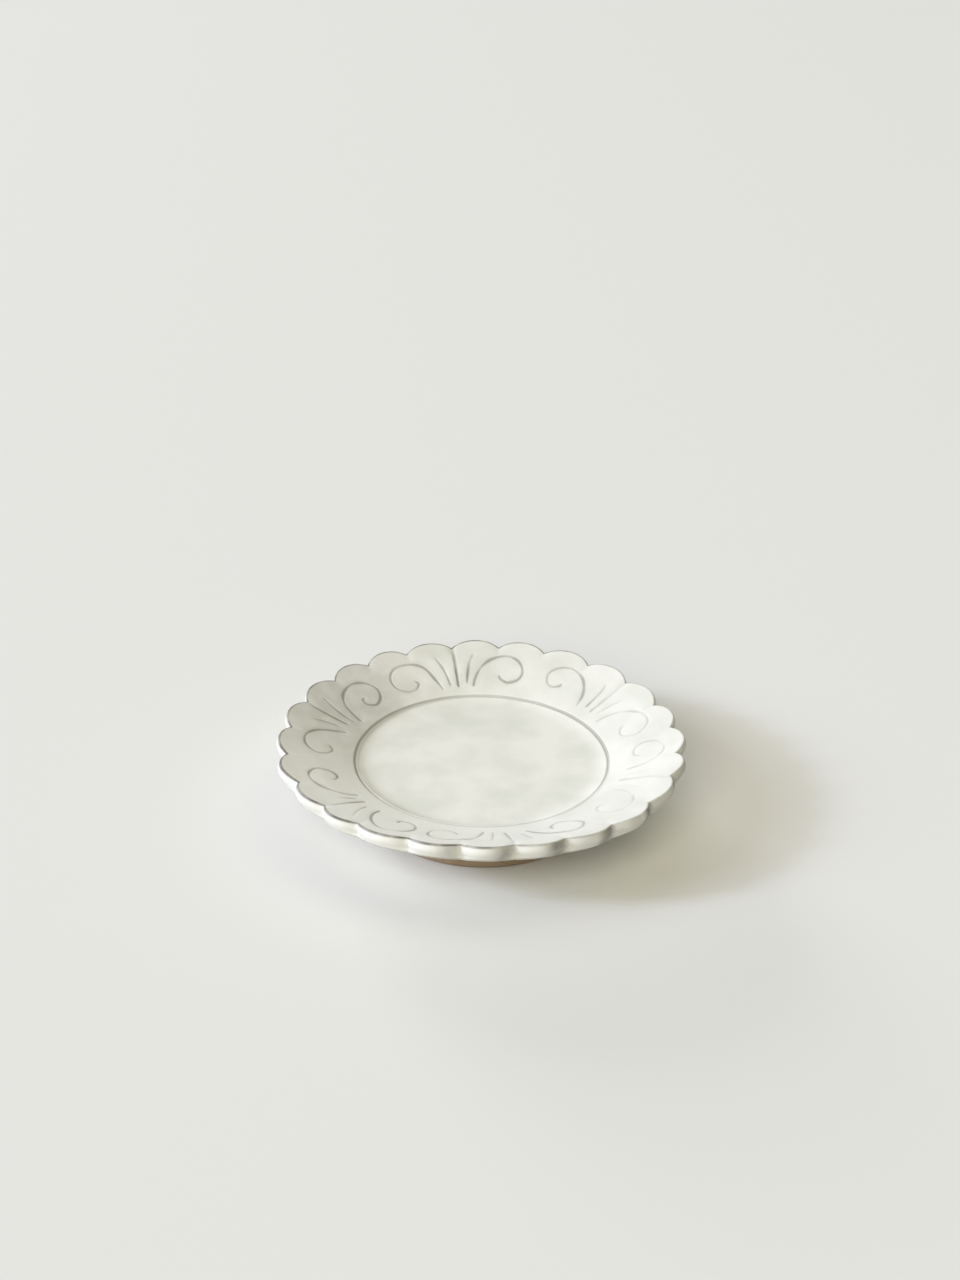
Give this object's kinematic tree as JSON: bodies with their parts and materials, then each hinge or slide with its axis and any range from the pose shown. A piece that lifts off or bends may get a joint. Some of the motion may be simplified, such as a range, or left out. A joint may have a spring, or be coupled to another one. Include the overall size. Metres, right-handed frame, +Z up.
{
  "type": "small plate",
  "caption": "Small round footed ceramic plate with a lobed, carved flange, a shallow ringed well and a clay foot ring, for serving a small portion or holding a cup.",
  "frame": {"origin": "on the plate's axis, in the plane that its foot stands on", "axes": "+Z up along the plate's axis; the tip of a lobe lies on +X"},
  "size_m": [0.1322, 0.1322, 0.026],
  "materials": {
    "white_glaze": "satin off-white glaze that breaks thin and brown along edges and lines",
    "bare_clay": "unglazed fired red-brown clay, matt"
  },
  "bodies": {
    "root": {"dish": "white_glaze", "foot_ring": "bare_clay"}
  },
  "joints": []
}
